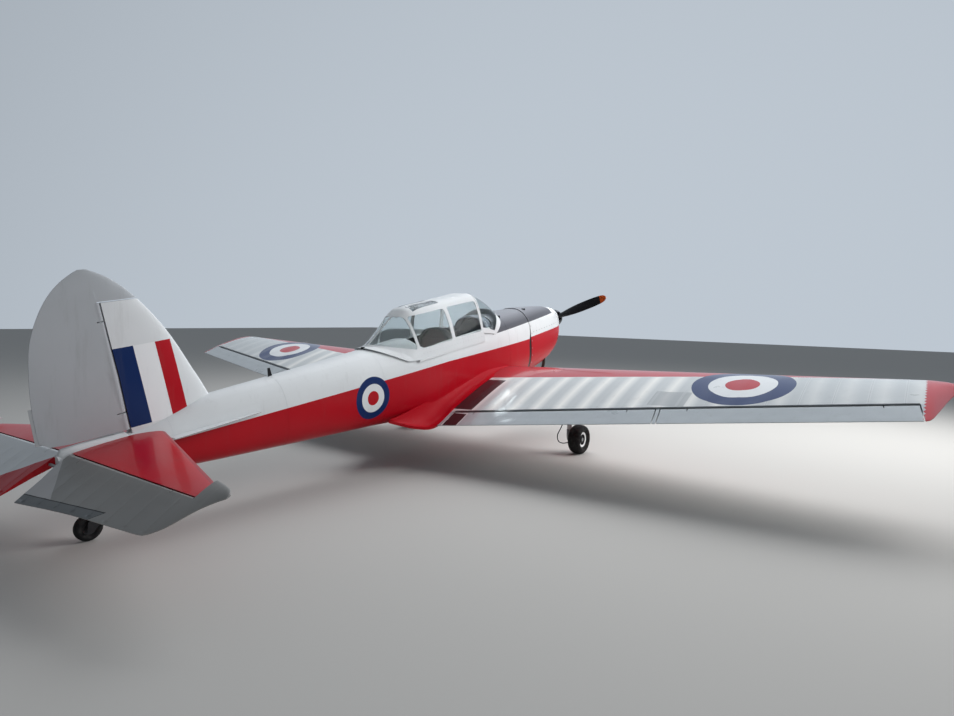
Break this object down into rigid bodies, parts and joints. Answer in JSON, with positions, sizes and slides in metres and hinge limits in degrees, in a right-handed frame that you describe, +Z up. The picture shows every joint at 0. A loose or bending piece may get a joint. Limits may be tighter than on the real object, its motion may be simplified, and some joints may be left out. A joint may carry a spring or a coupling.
{
  "type": "light two-seat trainer aircraft",
  "caption": "Low-wing two-seat trainer aircraft with tail wheel, sliding cockpit hood, hinged control surfaces and a two-blade propeller.",
  "frame": {"origin": "on the floor under the centre of the whole part, standing on its three wheels", "axes": "+X to the port wing tip, -Y to the nose, +Z up"},
  "size_m": [10.464, 7.6216, 2.0394],
  "materials": {
    "white_paint": "gloss",
    "red_paint": "gloss",
    "silver_paint": "satin",
    "black_paint": "satin",
    "clear_glass": "gloss",
    "bare_metal": "satin",
    "tyre_rubber": "matte",
    "black_rubber": "matte",
    "seat_cover": "matte"
  },
  "bodies": {
    "airframe": {"fuselage": "white_paint", "firewall": "bare_metal", "cowling": "white_paint", "engine": "bare_metal", "wing_left": "silver_paint", "wing_right": "silver_paint", "wing_fillet_left": "red_paint", "wing_fillet_right": "red_paint", "fin": "white_paint", "stabiliser_left": "red_paint", "stabiliser_right": "red_paint", "strake_left": "white_paint", "strake_right": "white_paint", "windscreen_frame": "white_paint", "windscreen": "clear_glass", "seat_front": "seat_cover", "seat_rear": "seat_cover", "panel_front": "black_paint", "panel_rear": "black_paint", "stick_front": "bare_metal", "stick_rear": "bare_metal", "gear_leg_left": "bare_metal", "gear_leg_right": "bare_metal", "brake_left": "bare_metal", "brake_right": "bare_metal", "brake_hose_left": "black_rubber", "brake_hose_right": "black_rubber", "tail_leg": "bare_metal", "exhaust": "bare_metal", "pitot": "bare_metal", "aerial": "black_paint"},
    "propeller": {"propeller": "black_paint", "spinner": "black_paint"},
    "main_wheel_left": {"tyre_left": "tyre_rubber", "wheel_left": "white_paint"},
    "main_wheel_right": {"tyre_right": "tyre_rubber", "wheel_right": "white_paint"},
    "tail_fork": {"tail_fork": "bare_metal"},
    "tail_wheel": {"tail_tyre": "tyre_rubber", "tail_wheel": "bare_metal"},
    "hood": {"hood_frame": "white_paint", "hood_pane_front_left": "clear_glass", "hood_pane_front_right": "clear_glass", "hood_pane_rear_left": "clear_glass", "hood_pane_rear_right": "clear_glass", "hood_pane_quarter_left": "clear_glass", "hood_pane_quarter_right": "clear_glass", "hood_pane_roof_left": "clear_glass", "hood_pane_roof_right": "clear_glass"},
    "rudder": {"rudder": "white_paint"},
    "elevators": {"elevator_left": "silver_paint", "elevator_right": "silver_paint", "elevator_bar": "silver_paint"},
    "aileron_left": {"aileron_left": "silver_paint"},
    "aileron_right": {"aileron_right": "silver_paint"},
    "flap_left": {"flap_left": "silver_paint"},
    "flap_right": {"flap_right": "silver_paint"}
  },
  "joints": [
    {"name": "propeller_spin", "type": "hinge", "parent": "airframe", "child": "propeller", "pos_m": [0, -3.57927, 1.67441], "axis": [0, 0.9877, -0.1564], "continuous": true},
    {"name": "main_wheel_left_spin", "type": "hinge", "parent": "airframe", "child": "main_wheel_left", "pos_m": [1.394, -1.81631, 0.18023], "axis": [1, 0, 0], "continuous": true},
    {"name": "main_wheel_right_spin", "type": "hinge", "parent": "airframe", "child": "main_wheel_right", "pos_m": [-1.394, -1.81631, 0.18023], "axis": [1, 0, 0], "continuous": true},
    {"name": "tail_castor", "type": "hinge", "parent": "airframe", "child": "tail_fork", "pos_m": [0, 3.22903, 0.27666], "axis": [0, 0, 1], "range_deg": [-60, 60]},
    {"name": "tail_wheel_spin", "type": "hinge", "parent": "tail_fork", "child": "tail_wheel", "pos_m": [0, 3.31403, 0.09823], "axis": [1, 0, 0], "continuous": true},
    {"name": "hood_slide", "type": "slide", "parent": "airframe", "child": "hood", "axis": [0, 0.9877, -0.1564], "range_m": [0, 0.62]},
    {"name": "rudder_hinge", "type": "hinge", "parent": "airframe", "child": "rudder", "pos_m": [0, 3.14447, 1.25543], "axis": [0, 0.2005, 0.9797], "range_deg": [-27, 27]},
    {"name": "elevator_hinge", "type": "hinge", "parent": "airframe", "child": "elevators", "pos_m": [0, 3.44952, 0.63406], "axis": [1, 0, 0], "range_deg": [-2, 48]},
    {"name": "aileron_left_hinge", "type": "hinge", "parent": "airframe", "child": "aileron_left", "pos_m": [3.86, -0.74092, 0.91673], "axis": [0.987, -0.1173, 0.1102], "range_deg": [-18, 18]},
    {"name": "aileron_right_hinge", "type": "hinge", "parent": "airframe", "child": "aileron_right", "pos_m": [-3.86, -0.74092, 0.91673], "axis": [0.987, 0.1173, -0.1102], "range_deg": [-18, 18]},
    {"name": "flap_left_hinge", "type": "hinge", "parent": "airframe", "child": "flap_left", "pos_m": [1.69, -0.48299, 0.67437], "axis": [-0.987, 0.1173, -0.1102], "range_deg": [0, 30]},
    {"name": "flap_right_hinge", "type": "hinge", "parent": "airframe", "child": "flap_right", "pos_m": [-1.69, -0.48299, 0.67437], "axis": [-0.987, -0.1173, 0.1102], "range_deg": [0, 30]}
  ],
  "couplings": [
    {"joint": "aileron_right_hinge", "follows": "aileron_left_hinge", "ratio": -1},
    {"joint": "flap_right_hinge", "follows": "flap_left_hinge", "ratio": 1}
  ]
}
